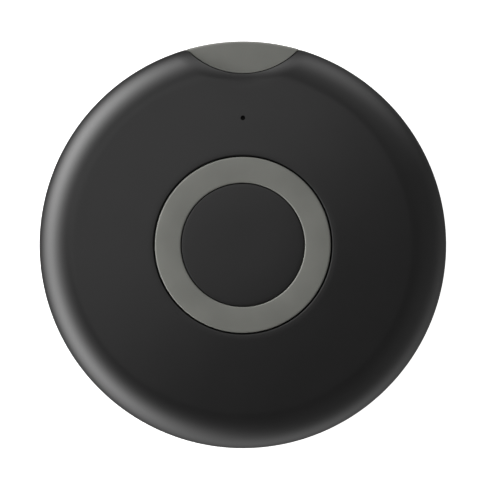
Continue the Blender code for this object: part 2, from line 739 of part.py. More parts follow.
def tact_switch():
    """Base, snap dome, plunger and steel cover of the switch under the button's post."""
    base = block("switch_base", (0.0, 0.0), SWITCH_SIZE, BOARD_TOP, SWITCH_TOP_Z - 0.03 * MM, CHIP)
    cut(base, disc("switch_pocket", 1.3 * MM, SWITCH_POCKET_Z, 7.0 * MM, steps=SMALL_STEPS))
    dome_low = SWITCH_POCKET_Z + 0.02 * MM
    rise, gauge = 0.24 * MM, 0.06 * MM
    radius = SWITCH_DOME_RADIUS
    dome = [
        (0.0, dome_low + rise),
        (radius * 0.5, dome_low + rise * 0.8),
        (radius, dome_low + gauge),
        (radius, dome_low),
        (radius * 0.5, dome_low + rise * 0.8 - gauge),
        (0.0, dome_low + rise - gauge),
    ]
    turned("switch_dome", dome, GOLD, steps=SMALL_STEPS)
    foot_z = dome_low + rise + 0.02 * MM
    plunger = [
        (0.0, 6.55 * MM),
        (0.65 * MM, 6.55 * MM),
        (0.75 * MM, 6.48 * MM),
        (0.75 * MM, 6.15 * MM),
        (1.1 * MM, 6.15 * MM),
        (1.1 * MM, foot_z),
        (0.0, foot_z),
    ]
    turned("switch_plunger", plunger, CERAMIC, steps=SMALL_STEPS)
    width = SWITCH_SIZE[0] + 0.3 * MM
    plate = block("switch_cover", (0.0, 0.0), (width, 2.8 * MM), 5.7 * MM, SWITCH_TOP_Z + 0.1 * MM, STEEL)
    inside = (SWITCH_SIZE[0] + 0.06 * MM, 4.0 * MM)
    cut(plate, block("cover_inside", (0.0, 0.0), inside, 5.0 * MM, SWITCH_TOP_Z))
    cut(plate, disc("cover_hole", 0.85 * MM, 6.0 * MM, 7.0 * MM, steps=SMALL_STEPS))


def buzzer():
    """A magnetic sounder: base, steel core, coil, ring magnet, diaphragm and case."""
    low, top = BUZZER_Z
    spot = (0.0, PORT_Y)
    side = (BUZZER_SIDE, BUZZER_SIDE)
    base_top = low + BUZZER_BASE
    cavity_top = top - 0.3 * MM
    case = block("buzzer_case", spot, side, base_top + 0.02 * MM, top, CHIP)
    cut(case, disc("buzzer_cavity", 2.25 * MM, 4.0 * MM, cavity_top, steps=32, at=spot))
    cut(case, disc("buzzer_outlet", 0.5 * MM, 6.0 * MM, 7.0 * MM, steps=12, at=spot))
    block("buzzer_base", spot, side, low, base_top, BOARD_GREEN)
    core_low = base_top + 0.02 * MM
    core = [
        (0.0, core_low + 1.05 * MM),
        (0.45 * MM, core_low + 1.05 * MM),
        (0.45 * MM, core_low + 0.2 * MM),
        (2.2 * MM, core_low + 0.2 * MM),
        (2.2 * MM, core_low),
        (0.0, core_low),
    ]
    turned("buzzer_core", core, STEEL, steps=SMALL_STEPS, at=spot)
    winding_low = core_low + 0.24 * MM
    ring("buzzer_coil", 0.5 * MM, 1.25 * MM, winding_low, core_low + 0.98 * MM, COPPER, SMALL_STEPS, spot)
    ring("buzzer_magnet", 1.45 * MM, 2.15 * MM, winding_low, core_low + 0.95 * MM, STEEL, SMALL_STEPS, spot)
    skin_z = core_low + 1.12 * MM
    disc("buzzer_diaphragm", 2.1 * MM, skin_z, skin_z + 0.06 * MM, STEEL, SMALL_STEPS, spot)


def sound_port():
    """Foam ring and mesh between the buzzer's outlet and the pinhole in the front cover."""
    spot = (0.0, PORT_Y)
    disc("port_mesh", 2.0 * MM, 7.08 * MM, 7.17 * MM, MESH_CLOTH, 24, spot)
    ring("port_gasket", 1.0 * MM, 2.0 * MM, BUZZER_Z[1] + FIT, 7.05 * MM, RUBBER, 24, spot)


# --- Find button -------------------------------------------------------------------------------


def find_button():
    """The cap with its thumb dish, retaining lip and switch post, and the ring set into it."""
    inner = BUTTON_RADIUS - RING_WIDTH
    cap_edge = inner - FIT
    lip_low, lip_top = BUTTON_LIP_Z
    turned(
        "find_button",
        [
            (0.0, face_z(0.0) - BUTTON_DISH),
            (cap_edge * 0.6, face_z(cap_edge * 0.6) - BUTTON_DISH * 0.4),
            (cap_edge - 0.15 * MM, face_z(cap_edge)),
            (cap_edge, face_z(cap_edge) - 0.1 * MM),
            (cap_edge, RING_SEAT_Z),
            (BUTTON_RADIUS, RING_SEAT_Z),
            (BUTTON_RADIUS, lip_top),
            (BUTTON_LIP_RADIUS, lip_top),
            (BUTTON_LIP_RADIUS, lip_low),
            (7.5 * MM, lip_low),
            (7.5 * MM, BUTTON_UNDER_Z),
            (1.2 * MM, BUTTON_UNDER_Z),
            (1.2 * MM, 6.6 * MM),
            (0.0, 6.6 * MM),
        ],
        BLACK_PLASTIC,
    )
    bevel = 0.12 * MM
    inner_top = face_z(inner) + RING_PROUD
    outer_top = face_z(BUTTON_RADIUS) + RING_PROUD
    turned(
        "button_ring",
        [
            (inner, inner_top - bevel),
            (inner + bevel, inner_top),
            (BUTTON_RADIUS - bevel, outer_top),
            (BUTTON_RADIUS, outer_top - bevel),
            (BUTTON_RADIUS, RING_SEAT_Z + FIT),
            (inner, RING_SEAT_Z + FIT),
        ],
        GREY_PLASTIC,
        closed=True,
    )
    ring("button_gasket", *BUTTON_GASKET, lip_top + BOND, CEILING_Z - BOND, RUBBER)


def shade_round_pieces():
    """Applies each part's modifiers and shades it smooth between its sharp edges."""
    bpy.context.view_layer.update()
    graph = bpy.context.evaluated_depsgraph_get()
    parts = bpy.data.collections["tracker_tag"].objects
    finished = {obj: bpy.data.meshes.new_from_object(obj.evaluated_get(graph)) for obj in parts}
    for obj, mesh in finished.items():
        obj.modifiers.clear()
        obj.data = mesh
        mesh.shade_smooth()
        mesh.set_sharp_from_angle(angle=math.radians(SHARP_ANGLE))


def main():
    clear_scene()
    collection("tracker_tag")
    collection("cutters")
    front_cover()
    rear_cover()
    pin("strap_pin", STRAP_PIN_RADIUS, STRAP_PIN_LENGTH, STEEL)
    seals()
    case_screws()
    battery_door()
    coin_cell()
    battery_frame()
    contacts()
    circuit_board()
    board_parts()
    tact_switch()
    buzzer()
    sound_port()
    find_button()
    shade_round_pieces()


main()
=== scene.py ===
"""Looks of the bluetooth tracker tag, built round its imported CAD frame.

The covers, the button and its ring, the battery door and its O-ring, the strap bar and the switch's
dome are rebuilt as smooth, finely divided pieces in the places that the frame gives. All other pieces
stay as the frame's solids and get finished materials.
Lengths are in metres, written as millimetres times MM.
"""

import json
import math

import bmesh
import bpy
from mathutils import Matrix, Vector


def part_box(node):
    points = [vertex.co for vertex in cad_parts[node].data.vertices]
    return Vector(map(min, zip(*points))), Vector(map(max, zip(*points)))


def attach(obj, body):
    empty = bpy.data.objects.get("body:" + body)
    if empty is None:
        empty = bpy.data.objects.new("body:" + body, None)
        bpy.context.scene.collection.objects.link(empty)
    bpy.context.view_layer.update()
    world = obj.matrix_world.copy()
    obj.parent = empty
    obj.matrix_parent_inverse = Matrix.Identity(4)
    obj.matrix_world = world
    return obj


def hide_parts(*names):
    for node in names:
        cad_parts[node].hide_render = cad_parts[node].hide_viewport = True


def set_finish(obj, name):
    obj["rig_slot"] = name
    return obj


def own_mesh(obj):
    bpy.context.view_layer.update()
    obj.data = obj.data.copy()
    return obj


MM = 0.001

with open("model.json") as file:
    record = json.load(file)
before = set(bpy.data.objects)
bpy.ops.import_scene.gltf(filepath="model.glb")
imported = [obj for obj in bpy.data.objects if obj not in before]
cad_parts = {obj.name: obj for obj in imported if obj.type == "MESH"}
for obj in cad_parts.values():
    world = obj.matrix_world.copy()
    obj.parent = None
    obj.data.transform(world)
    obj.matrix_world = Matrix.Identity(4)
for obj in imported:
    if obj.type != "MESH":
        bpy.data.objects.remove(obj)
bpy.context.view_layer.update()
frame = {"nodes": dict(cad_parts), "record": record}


def low(node):
    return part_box(node)[0]


def high(node):
    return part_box(node)[1]


# --- Sizes, read from the frame where a node gives them -------------------------------------------

CASE_RADIUS = high("front_cover").x
SEAM_Z = low("front_cover").z
FACE_RADIUS = 15.5 * MM
FACE_EDGE_Z = 7.85 * MM
FACE_CROWN = 0.15 * MM
BELT_Z = 4.25 * MM
WALL = 1.0 * MM
SKIRT_WALL = 1.1 * MM  # the thickness of both covers at the seam
CEILING_Z = FACE_EDGE_Z - WALL
INNER_FACE_RADIUS = 15.0 * MM
LEAST_ROUND = 0.02 * MM  # the narrowest rounding that the ceiling gets, next to the notch

NOTCH_RADIUS = 7.2 * MM
NOTCH_Y = CASE_RADIUS + 4.1 * MM
NOTCH_SOFT = 1.2 * MM  # how far from the notch the surface starts to bend down
NOTCH_SAG = 0.3 * MM  # how far it has gone down where the notch starts
NOTCH_CORNER = 0.3 * MM  # how softly the notch turns into the outer edge
TAB_GAP = 0.12 * MM
TAB_TOP_Z = 5.55 * MM
TAB_RIM_Z = 4.95 * MM
TAB_EDGE_ROUND = 0.25 * MM

DOOR_RADIUS = high("battery_door").x
DOOR_GAP = 0.15 * MM
SEAM_GAP = 0.05 * MM
FOOT_RADIUS = 15.9 * MM
REAR_BELT_Z = 3.2 * MM
REAR_TOP_Z = SEAM_Z - SEAM_GAP
REAR_FLOOR_Z = 2.35 * MM
REAR_FLOOR_RISE = 0.65 * MM  # how far the inside of the floor slopes up beside the outer wall
HOLLOW_TOP_Z = 4.0 * MM
RECESS_RADIUS = DOOR_RADIUS + DOOR_GAP
RECESS_Z = 1.35 * MM
COLLAR_RADIUS = 12.6 * MM
COLLAR_BORE = 11.45 * MM
EDGE_BREAK = 0.09 * MM  # the small chamfer along the seam and the recess
STRAP_HALF_WIDTH = 2.6 * MM
STRAP_BACK_Y = 15.5 * MM
STRAP_UPPER_BACK_Y = 16.7 * MM
STRAP_TOP_Z = REAR_TOP_Z - 0.45 * MM
STRAP_ROOF_Z = 3.9 * MM
STRAP_ROUND = 0.35 * MM
STRAP_ROOF_ROUND = 0.3 * MM
BAR_NOSE = 0.12 * MM  # the chamfer on the strap bar's ends

DOOR_LOW_Z = low("battery_door").z
DOOR_PLATE_Z = 1.3 * MM
DOOR_CUP_TOP_Z = high("battery_door").z
DOOR_CUP_RADIUS = 11.3 * MM
DOOR_CUP_INNER = 10.35 * MM
DOOR_ROUND = 0.14 * MM
DOOR_LEAD = 12.0 * MM  # how far the door comes out in a whole turn
LUG_Z = 2.6 * MM
LUG_HEIGHT = 0.7 * MM
LUG_RADIUS = 11.9 * MM
LUG_ROOT = 0.3 * MM  # how deep a lug starts in the cup's wall
LUG_SPAN = 24.0
LUG_ANGLES = (60.0, 180.0, 300.0)
GROOVE_RADIUS = 12.05 * MM
GROOVE_INNER = 11.0 * MM
GROOVE_HEIGHT = 1.0 * MM
GROOVE_RUN = 78.0
GROOVE_SLACK = 3.0
COIN_SLOT_LENGTH = 14.0 * MM
COIN_SLOT_WIDTH = 1.9 * MM
COIN_SLOT_DEPTH = 0.65 * MM
COIN_SLOT_END = 0.98  # the rounding of its ends, as a share of half its width
SEAL_GROOVE_RADIUS = DOOR_RADIUS - 0.54 * MM
SEAL_GROOVE_Z = (0.42 * MM, 1.0 * MM)

SCREW_RING = 13.3 * MM
SCREW_ANGLES = (30.0, 150.0, 270.0)
COUNTERBORE_RADIUS = 1.0 * MM
COUNTERBORE_TOP_Z = 2.0 * MM
CLEARANCE_RADIUS = 0.85 * MM

BUTTON_RADIUS = high("button_ring").x
BUTTON_HOLE = 8.3 * MM
HOLE_ROUND = 0.12 * MM
RING_WIDTH = 2.4 * MM
RING_INNER = BUTTON_RADIUS - RING_WIDTH
RING_LOW_Z = low("button_ring").z
RING_SEAT_Z = RING_LOW_Z - 0.05 * MM
RING_PROUD = 0.08 * MM
RING_GAP = 0.06 * MM
RING_ROUND = 0.16 * MM
BUTTON_DISH = 0.05 * MM
BUTTON_RIM = 0.4 * MM  # the width outside the dish
BUTTON_ROUND = 0.12 * MM
BUTTON_INSIDE = 7.5 * MM
BUTTON_LOW_Z = low("find_button").z
LIP_RADIUS = high("find_button").x
LIP_TOP_Z = 6.6 * MM
POST_RADIUS = 1.2 * MM
POST_LOW_Z = 6.6 * MM
BUTTON_UNDER_Z = 6.9 * MM

DOME_GAUGE = 0.06 * MM

PORT_Y = (low("port_mesh").y + high("port_mesh").y) / 2
PORT_RADIUS = 0.22 * MM

# How finely the round forms are divided
TURN_STEPS = 240
COVER_STEPS = 360
NOTCH_STEPS = 168
REST_STEPS = 256
FACE_STEPS = 14
RIM_STEPS = 36
RIM_CROWDING = 1.25  # above 1, the rim's points lie closer together towards the seam
WALL_STEPS = 8
CEILING_STEPS = 12
FOOT_STEPS = 28
DISH_STEPS = 16
DOME_STEPS = 16
FILLET_STEPS = 5
HELIX_STEP = 2.0  # degrees

NOTCH_HALF_ANGLE = 21.0  # degrees each way from +Y that hold the notch and what bends towards it
CORNER_SHARE = 0.45  # how much of each side a rounded corner may take
NEARLY_STRAIGHT = 165.0  # degrees between two sides that need no rounding
SHARP_ANGLE = 40.0
WELD_DISTANCE = 0.001 * MM
ON_AXIS = 1e-9  # a smaller radius than this counts as zero
BELOW = -1.0 * MM  # where cutters start and end, outside the tag
ABOVE = 9.0 * MM
OUTSIDE = 25.0 * MM

# Soft lights of the studio. Each has its middle, in degrees round from +X and above the horizon,
# its spread in those two directions, and its strength.
SOFT_LIGHTS = {
    "left strip": (146.0, 3.0, 37.0, 27.0, 7.2),
    "front left strip": (212.0, 3.0, 37.0, 27.0, 5.1),
    "back glow": (64.0, -2.0, 23.0, 30.0, 1.6),
    "high right glow": (54.0, 50.0, 20.0, 24.0, 0.42),
    "low front glow": (277.0, -25.0, 70.0, 26.0, 0.95),
    "right glow": (335.0, 30.0, 60.0, 40.0, 0.32),
    "overhead": (150.0, 50.0, 80.0, 30.0, 0.4),
    "underneath": (0.0, -90.0, 180.0, 35.0, 0.15),
}
# A small panel close above the tag, seen only in its face: one edge passes over the middle of the tag.
PANEL_SIZE = (42.0 * MM, 58.0 * MM)  # outwards along its bearing, and across
PANEL_HEIGHT = 60.0 * MM
PANEL_OVERLAP = 1.0 * MM
PANEL_BEARING = 134.0
PANEL_RADIANCE = 0.72
FLOOR_Z = -0.02 * MM
FLOOR_REACH = 1.5

CAMERA_LENS = 500.0
CAMERA_SENSOR = 36.0
CAMERA_OFFSET = (0.2 * MM, -0.01 * MM)
VIEW_WIDTH = 45.77 * MM


# --- Mesh tools --------------------------------------------------------------------------------


def add_object(name, mesh):
    obj = bpy.data.objects.new(name, mesh)
    bpy.context.scene.collection.objects.link(obj)
    return obj


def finished(bm, name):
    """The bmesh as a mesh of that name."""
    mesh = bpy.data.meshes.new(name)
    bm.to_mesh(mesh)
    bm.free()
    return mesh


def helper(name, mesh):
    """An object that only cuts or is joined to others. `settle` removes it."""
    obj = add_object(name, mesh)
    obj.hide_render = True
    return obj


def face_z(radius):
    return FACE_EDGE_Z + FACE_CROWN * (1.0 - (radius / FACE_RADIUS) ** 2)


def arc(centre, radii, start, end, steps):
    """(radius, z) points along an ellipse, from one angle to another in degrees."""
    points = []
    for i in range(steps + 1):
        angle = math.radians(start + (end - start) * i / steps)
        points.append((centre[0] + radii[0] * math.cos(angle), centre[1] + radii[1] * math.sin(angle)))
    return points


def rounded(points, radius, steps=FILLET_STEPS):
    """The profile with each of its inner corners turned into an arc of about that radius."""
    made = [points[0]]
    for before, corner, after in zip(points, points[1:], points[2:]):
        here = Vector(corner)
        back = Vector(before) - here
        ahead = Vector(after) - here
        reach = min(radius, back.length * CORNER_SHARE, ahead.length * CORNER_SHARE)
        if back.angle(ahead) > math.radians(NEARLY_STRAIGHT):
            made.append(corner)
            continue
        start = here + back.normalized() * reach
        end = here + ahead.normalized() * reach
        for i in range(steps + 1):
            t = i / steps
            point = start.lerp(here, t).lerp(here.lerp(end, t), t)
            made.append((point.x, point.y))
    made.append(points[-1])
    return made


def turned_mesh(name, profile, steps=TURN_STEPS, closed=False):
    """A (radius, z) profile turned round the Z axis. An open profile starts and ends on the axis."""
    bm = bmesh.new()
    poles = [bm.verts.new((0.0, 0.0, z)) if abs(r) < ON_AXIS else None for r, z in profile]
    columns = []
    for i in range(steps):
        angle = 2 * math.pi * i / steps
        points = [(r * math.cos(angle), r * math.sin(angle), z) for r, z in profile]
        columns.append([pole or bm.verts.new(point) for pole, point in zip(poles, points)])
    rows = len(profile) if closed else len(profile) - 1
    for i, column in enumerate(columns):
        following = columns[(i + 1) % steps]
        for j in range(rows):
            k = (j + 1) % len(profile)
            corners = [column[j], column[k], following[k], following[j]]
            distinct = [c for n, c in enumerate(corners) if c not in corners[:n]]
            if len(distinct) > 2:
                bm.faces.new(distinct)
    bmesh.ops.recalc_face_normals(bm, faces=bm.faces)
    return finished(bm, name)


def disc_mesh(name, radius, z_low, z_high, centre=(0.0, 0.0), steps=48):
    """An upright cylinder, used as a cutter."""
    bm = bmesh.new()
    middle = Matrix.Translation((*centre, (z_low + z_high) / 2))
    bmesh.ops.create_cone(
        bm,
        cap_ends=True,
        segments=steps,
        radius1=radius,
        radius2=radius,
        depth=z_high - z_low,
        matrix=middle,
    )
    return finished(bm, name)


def box_mesh(name, corner_low, corner_high, bevel=0.0):
    bm = bmesh.new()
    first, last = Vector(corner_low), Vector(corner_high)
    size = last - first
    place = Matrix.Translation((first + last) / 2) @ Matrix.Diagonal((*size, 1.0))
    bmesh.ops.create_cube(bm, size=1.0, matrix=place)
    if bevel:
        upright = [e for e in bm.edges if abs(e.verts[0].co.z - e.verts[1].co.z) > size.z / 2]
        bmesh.ops.bevel(bm, geom=upright, offset=bevel, segments=6, affect="EDGES", profile=0.5)
    return finished(bm, name)


def bar_mesh(name, radius, length, centre, steps=64):
    """A round bar along X with chamfered ends."""
    half = length / 2
    profile = [(0.0, -half), (radius - BAR_NOSE, -half), (radius, BAR_NOSE - half)]
    profile += [(radius, half - BAR_NOSE), (radius - BAR_NOSE, half), (0.0, half)]
    mesh = turned_mesh(name, profile, steps=steps)
    mesh.transform(Matrix.Translation(centre) @ Matrix.Rotation(math.radians(90), 4, "Y"))
    return mesh


def helix_mesh(name, inner, outer, height, start, span, middle_z):
    """A bar that climbs round the axis by DOOR_LEAD for each turn."""
    steps = round(span / HELIX_STEP)
    bm = bmesh.new()
    corners = [(inner, -height / 2), (outer, -height / 2), (outer, height / 2), (inner, height / 2)]
    turn = Matrix.Rotation(math.radians(start), 4, "Z")
    section = [bm.verts.new(turn @ Vector((radius, 0.0, middle_z + z))) for radius, z in corners]
    bm.faces.new(section)
    bmesh.ops.spin(
        bm,
        geom=bm.verts[:] + bm.edges[:] + bm.faces[:],
        cent=(0.0, 0.0, 0.0),
        axis=(0.0, 0.0, 1.0),
        dvec=(0.0, 0.0, DOOR_LEAD * span / 360.0 / steps),
        angle=math.radians(span),
        steps=steps,
    )
    bmesh.ops.recalc_face_normals(bm, faces=bm.faces)
    return finished(bm, name)


def boolean(obj, other, operation):
    modifier = obj.modifiers.new(other.name, "BOOLEAN")
    modifier.operation = operation
    modifier.object = other
    modifier.solver = "MANIFOLD"


def weld(mesh):
    """Joins points that a cut left on top of each other, so that no empty faces remain."""
    bm = bmesh.new()
    bm.from_mesh(mesh)
    bmesh.ops.remove_doubles(bm, verts=bm.verts, dist=WELD_DISTANCE)
    bmesh.ops.triangulate(bm, faces=[face for face in bm.faces if len(face.verts) > 4])
    bmesh.ops.dissolve_degenerate(bm, edges=bm.edges, dist=WELD_DISTANCE)
    bm.to_mesh(mesh)
    bm.free()


def settle(obj, helpers=()):
    """Applies the modifiers, removes the helpers and shades the result smooth between sharp edges."""
    bpy.context.view_layer.update()
    graph = bpy.context.evaluated_depsgraph_get()
    mesh = bpy.data.meshes.new_from_object(obj.evaluated_get(graph))
    weld(mesh)
    obj.modifiers.clear()
    obj.data = mesh
    for other in helpers:
        bpy.data.objects.remove(other)
    mesh.shade_smooth()
    mesh.set_sharp_from_angle(angle=math.radians(SHARP_ANGLE))
    return obj


def cut(obj, *meshes):
    helpers = [helper(mesh.name, mesh) for mesh in meshes]
    for other in helpers:
        boolean(obj, other, "DIFFERENCE")
    return settle(obj, helpers)


# --- Front cover -------------------------------------------------------------------------------


def notch_reach(off):
    """How far from the centre the front cover goes at an angle `off` from +Y, rounded at the corners."""
    across = NOTCH_Y * math.sin(off)
    if math.cos(off) <= 0 or abs(across) >= NOTCH_RADIUS:
        return CASE_RADIUS
    to_notch = NOTCH_Y * math.cos(off) - math.sqrt(NOTCH_RADIUS**2 - across**2)
    blend = max(NOTCH_CORNER - abs(CASE_RADIUS - to_notch), 0.0) / NOTCH_CORNER
    return min(CASE_RADIUS, to_notch) - blend**2 * NOTCH_CORNER / 4


def notch_drop(radius, off):
    """How far the surface beside the notch lies below the plain outer form there."""
    point = Vector((radius * math.sin(off), radius * math.cos(off)))
    away = (point - Vector((0.0, NOTCH_Y))).length - NOTCH_RADIUS
    inside = min(max(NOTCH_SOFT - away, 0.0), NOTCH_SOFT)
    return NOTCH_SAG * (inside / NOTCH_SOFT) ** 2


def front_face(off):
    """From the rounded edge of the button's hole out to where the rim starts."""
    start = BUTTON_HOLE + HOLE_ROUND
    points = arc((start, face_z(BUTTON_HOLE) - HOLE_ROUND), (HOLE_ROUND, HOLE_ROUND), 180, 90, FILLET_STEPS)
    for i in range(1, FACE_STEPS):
        radius = start + (FACE_RADIUS - start) * i / FACE_STEPS
        points.append((radius, face_z(radius) - notch_drop(radius, off)))
    return points


def front_rim(off, reach):
    """The elliptical rim, as far as the front cover goes there."""
    width, height = CASE_RADIUS - FACE_RADIUS, FACE_EDGE_Z - BELT_Z
    last = math.asin((reach - FACE_RADIUS) / width)
    points = []
    for i in range(RIM_STEPS + 1):
        share = 1.0 - (1.0 - i / RIM_STEPS) ** RIM_CROWDING
        radius = FACE_RADIUS + width * math.sin(last * share)
        z = BELT_Z + height * math.cos(last * share)
        points.append((radius, z - notch_drop(radius, off)))
    return points


def front_skirt(reach, start_z):
    """Straight down from the rim to the chamfer at the seam."""
    end_z = SEAM_Z + EDGE_BREAK
    points = [(reach, start_z + (end_z - start_z) * i / WALL_STEPS) for i in range(1, WALL_STEPS + 1)]
    return points + [(reach - EDGE_BREAK, SEAM_Z)]


def front_section(off):
    """The closed (radius, z) section of the front cover at an angle `off` from +Y."""
    reach = notch_reach(off)
    section = front_face(off) + front_rim(off, reach)
    section += front_skirt(reach, section[-1][1])
    inner = reach - SKIRT_WALL
    start = min(INNER_FACE_RADIUS, inner - LEAST_ROUND)
    section.append((inner, SEAM_Z))
    section += arc((start, BELT_Z), (inner - start, CEILING_Z - BELT_Z), 0, 90, CEILING_STEPS)
    section.append((BUTTON_HOLE, CEILING_Z))
    return section


def front_angles():
    """Angles from +Y: coarse round the case and fine across the notch."""
    half = math.radians(NOTCH_HALF_ANGLE)
    rest = 2 * math.pi - 2 * half
    fine = [-half + 2 * half * i / NOTCH_STEPS for i in range(NOTCH_STEPS)]
    return fine + [half + rest * i / REST_STEPS for i in range(REST_STEPS)]


def front_cover():
    bm = bmesh.new()
    columns = []
    for off in front_angles():
        points = [(r * math.sin(off), r * math.cos(off), z) for r, z in front_section(off)]
        columns.append([bm.verts.new(point) for point in points])
    count = len(columns[0])
    for column, following in zip(columns, columns[1:] + columns[:1]):
        for j in range(count):
            k = (j + 1) % count
            bm.faces.new((column[j], column[k], following[k], following[j]))
    bmesh.ops.recalc_face_normals(bm, faces=bm.faces)
    shell = add_object("front_shell", finished(bm, "front_shell"))
    cut(shell, disc_mesh("port", PORT_RADIUS, BELOW, ABOVE, (0.0, PORT_Y), steps=32))
    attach(shell, "housing")
    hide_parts("front_cover")
    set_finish(shell, "case_black")
    return shell


# --- Rear cover --------------------------------------------------------------------------------


def on_ring(radius, degrees):
    angle = math.radians(degrees)
    return radius * math.cos(angle), radius * math.sin(angle)


def rear_outside():
    """The outer form of the rear cover, with the tab's height over its whole width."""
    tab_edge = arc(
        (CASE_RADIUS - TAB_EDGE_ROUND, TAB_RIM_Z - TAB_EDGE_ROUND), (TAB_EDGE_ROUND,) * 2, 90, 0, WALL_STEPS
    )
    lower = arc((FOOT_RADIUS, REAR_BELT_Z), (CASE_RADIUS - FOOT_RADIUS, REAR_BELT_Z), 0, -90, FOOT_STEPS)
    tab_root = NOTCH_Y - NOTCH_RADIUS
    profile = [(0.0, TAB_TOP_Z), (tab_root, TAB_TOP_Z)] + tab_edge + lower + [(0.0, 0.0)]
    return turned_mesh("rear_shell", profile, steps=COVER_STEPS)


def above_seam():
    """A cutter for all that stands above the seam, except the tab."""
    profile = [
        (0.0, ABOVE),
        (OUTSIDE, ABOVE),
        (OUTSIDE, REAR_TOP_Z - 4 * EDGE_BREAK),
        (CASE_RADIUS, REAR_TOP_Z - EDGE_BREAK),
        (CASE_RADIUS - EDGE_BREAK, REAR_TOP_Z),
        (0.0, REAR_TOP_Z),
    ]
    above = helper("above_seam", turned_mesh("above_seam", profile, steps=COVER_STEPS))
    tab = disc_mesh("tab_outline", NOTCH_RADIUS - TAB_GAP, BELOW, 2 * ABOVE, (0.0, NOTCH_Y), steps=256)
    return cut(above, tab)


def rear_hollow():
    """A cutter for the space between the collar and the outer wall, up to the wall of the strap pocket."""
    inner_radius = CASE_RADIUS - SKIRT_WALL
    profile = [
        (COLLAR_RADIUS, HOLLOW_TOP_Z),
        (inner_radius, HOLLOW_TOP_Z),
        (inner_radius, REAR_FLOOR_Z + REAR_FLOOR_RISE),
        (inner_radius - WALL, REAR_FLOOR_Z),
        (COLLAR_RADIUS, REAR_FLOOR_Z),
    ]
    hollow = helper("rear_hollow", turned_mesh("rear_hollow", profile, closed=True))
    wall = disc_mesh("strap_wall", NOTCH_RADIUS + WALL, BELOW, ABOVE, (0.0, NOTCH_Y), steps=128)
    return cut(hollow, wall)


def door_cutters():
    """The recess for the door, the collar's bore and the three helical grooves in it."""
    profile = [
        (0.0, RECESS_Z),
        (RECESS_RADIUS, RECESS_Z),
        (RECESS_RADIUS, EDGE_BREAK),
        (RECESS_RADIUS + 2 * EDGE_BREAK, -EDGE_BREAK),
        (RECESS_RADIUS + 2 * EDGE_BREAK, BELOW),
        (0.0, BELOW),
    ]
    cutters = [
        turned_mesh("recess", profile),
        disc_mesh("bore", COLLAR_BORE, BELOW, ABOVE, steps=TURN_STEPS),
    ]
    for i, degrees in enumerate(LUG_ANGLES, 1):
        start = degrees - LUG_SPAN / 2 - GROOVE_RUN
        span = GROOVE_RUN + LUG_SPAN + GROOVE_SLACK
        middle_z = LUG_Z + DOOR_LEAD * (start - degrees) / 360.0
        section = (GROOVE_INNER, GROOVE_RADIUS, GROOVE_HEIGHT)
        cutters.append(helix_mesh(f"groove_{i}", *section, start, span, middle_z))
    return cutters


def strap_cutters():
    """The pocket behind the strap bar, and the shallower space above it."""
    pocket_low = (-STRAP_HALF_WIDTH, STRAP_BACK_Y, BELOW)
    pocket_high = (STRAP_HALF_WIDTH, OUTSIDE, STRAP_TOP_Z)
    roof_low = (-STRAP_HALF_WIDTH, STRAP_UPPER_BACK_Y, BELOW)
    roof_high = (STRAP_HALF_WIDTH, OUTSIDE, STRAP_ROOF_Z)
    return [
        box_mesh("strap_pocket", pocket_low, pocket_high, bevel=STRAP_ROUND),
        box_mesh("strap_pocket_roof", roof_low, roof_high, bevel=STRAP_ROOF_ROUND),
    ]


def screw_cutters():
    cutters = []
    for i, degrees in enumerate(SCREW_ANGLES, 1):
        spot = on_ring(SCREW_RING, degrees)
        cutters.append(disc_mesh(f"counterbore_{i}", COUNTERBORE_RADIUS, BELOW, COUNTERBORE_TOP_Z, spot))
        cutters.append(disc_mesh(f"clearance_{i}", CLEARANCE_RADIUS, BELOW, ABOVE, spot))
    return cutters


def rear_cover():
    """One turned form up to the tab's top, then the cuts that leave the shell, the tab and the pockets."""
    shell = add_object("rear_shell", rear_outside())
    helpers = (above_seam(), rear_hollow())
    for other in helpers:
        boolean(shell, other, "DIFFERENCE")
    settle(shell, helpers)
    cut(shell, *door_cutters(), *strap_cutters(), *screw_cutters())
    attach(shell, "housing")
    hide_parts("rear_cover")
    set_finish(shell, "soft_grey")
    return shell


def strap_bar():
    first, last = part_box("strap_pin")
    mesh = bar_mesh("strap_bar", (last.z - first.z) / 2, last.x - first.x, (first + last) / 2)
    bar = settle(add_object("strap_bar", mesh))
    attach(bar, "housing")
    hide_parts("strap_pin")
    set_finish(bar, "steel")
    return bar


# --- Battery door ------------------------------------------------------------------------------


